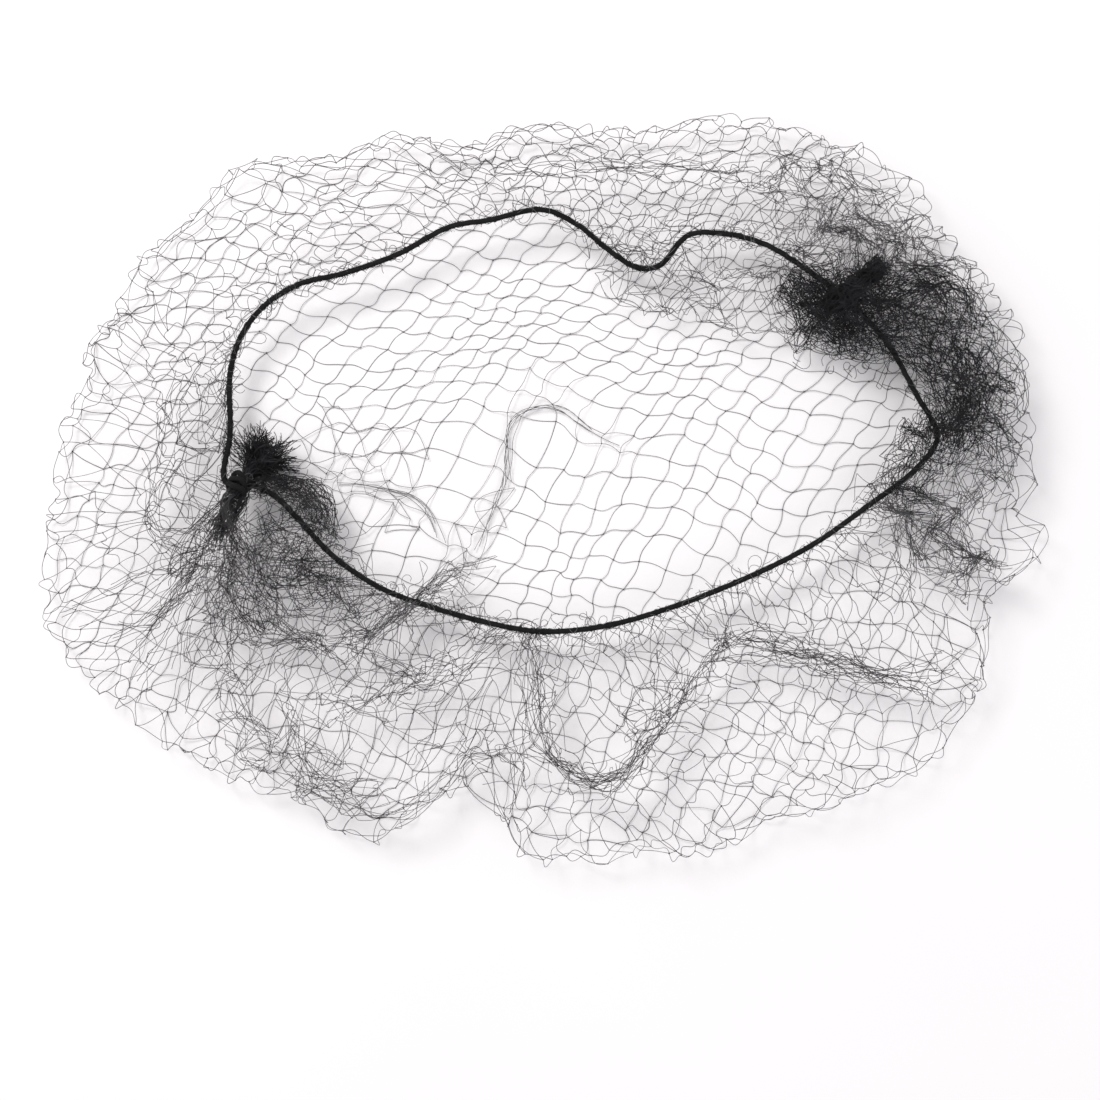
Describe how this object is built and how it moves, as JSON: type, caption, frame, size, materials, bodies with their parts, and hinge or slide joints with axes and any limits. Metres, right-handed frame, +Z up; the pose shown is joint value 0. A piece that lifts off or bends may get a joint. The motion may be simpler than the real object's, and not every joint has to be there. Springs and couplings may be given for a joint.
{
  "type": "hairnet",
  "caption": "Wide-meshed nylon hairnet lying open, its elastic edge knotted at one end and the net gathered at both ends.",
  "frame": {"origin": "middle of the net as seen from above, on the surface that the crown lies on", "axes": "+X along the net from the knotted left gather towards the right gather, +Y across it, +Z up out of the opening"},
  "size_m": [0.2366, 0.1758, 0.02],
  "materials": {
    "net": "knotted black nylon thread",
    "elastic": "black covered elastic cord"
  },
  "bodies": {
    "root": {"net_crown": "net", "net_side": "net", "elastic_cord": "elastic", "cord_knot": "elastic", "left_gather": "net", "right_gather": "net"}
  },
  "joints": []
}
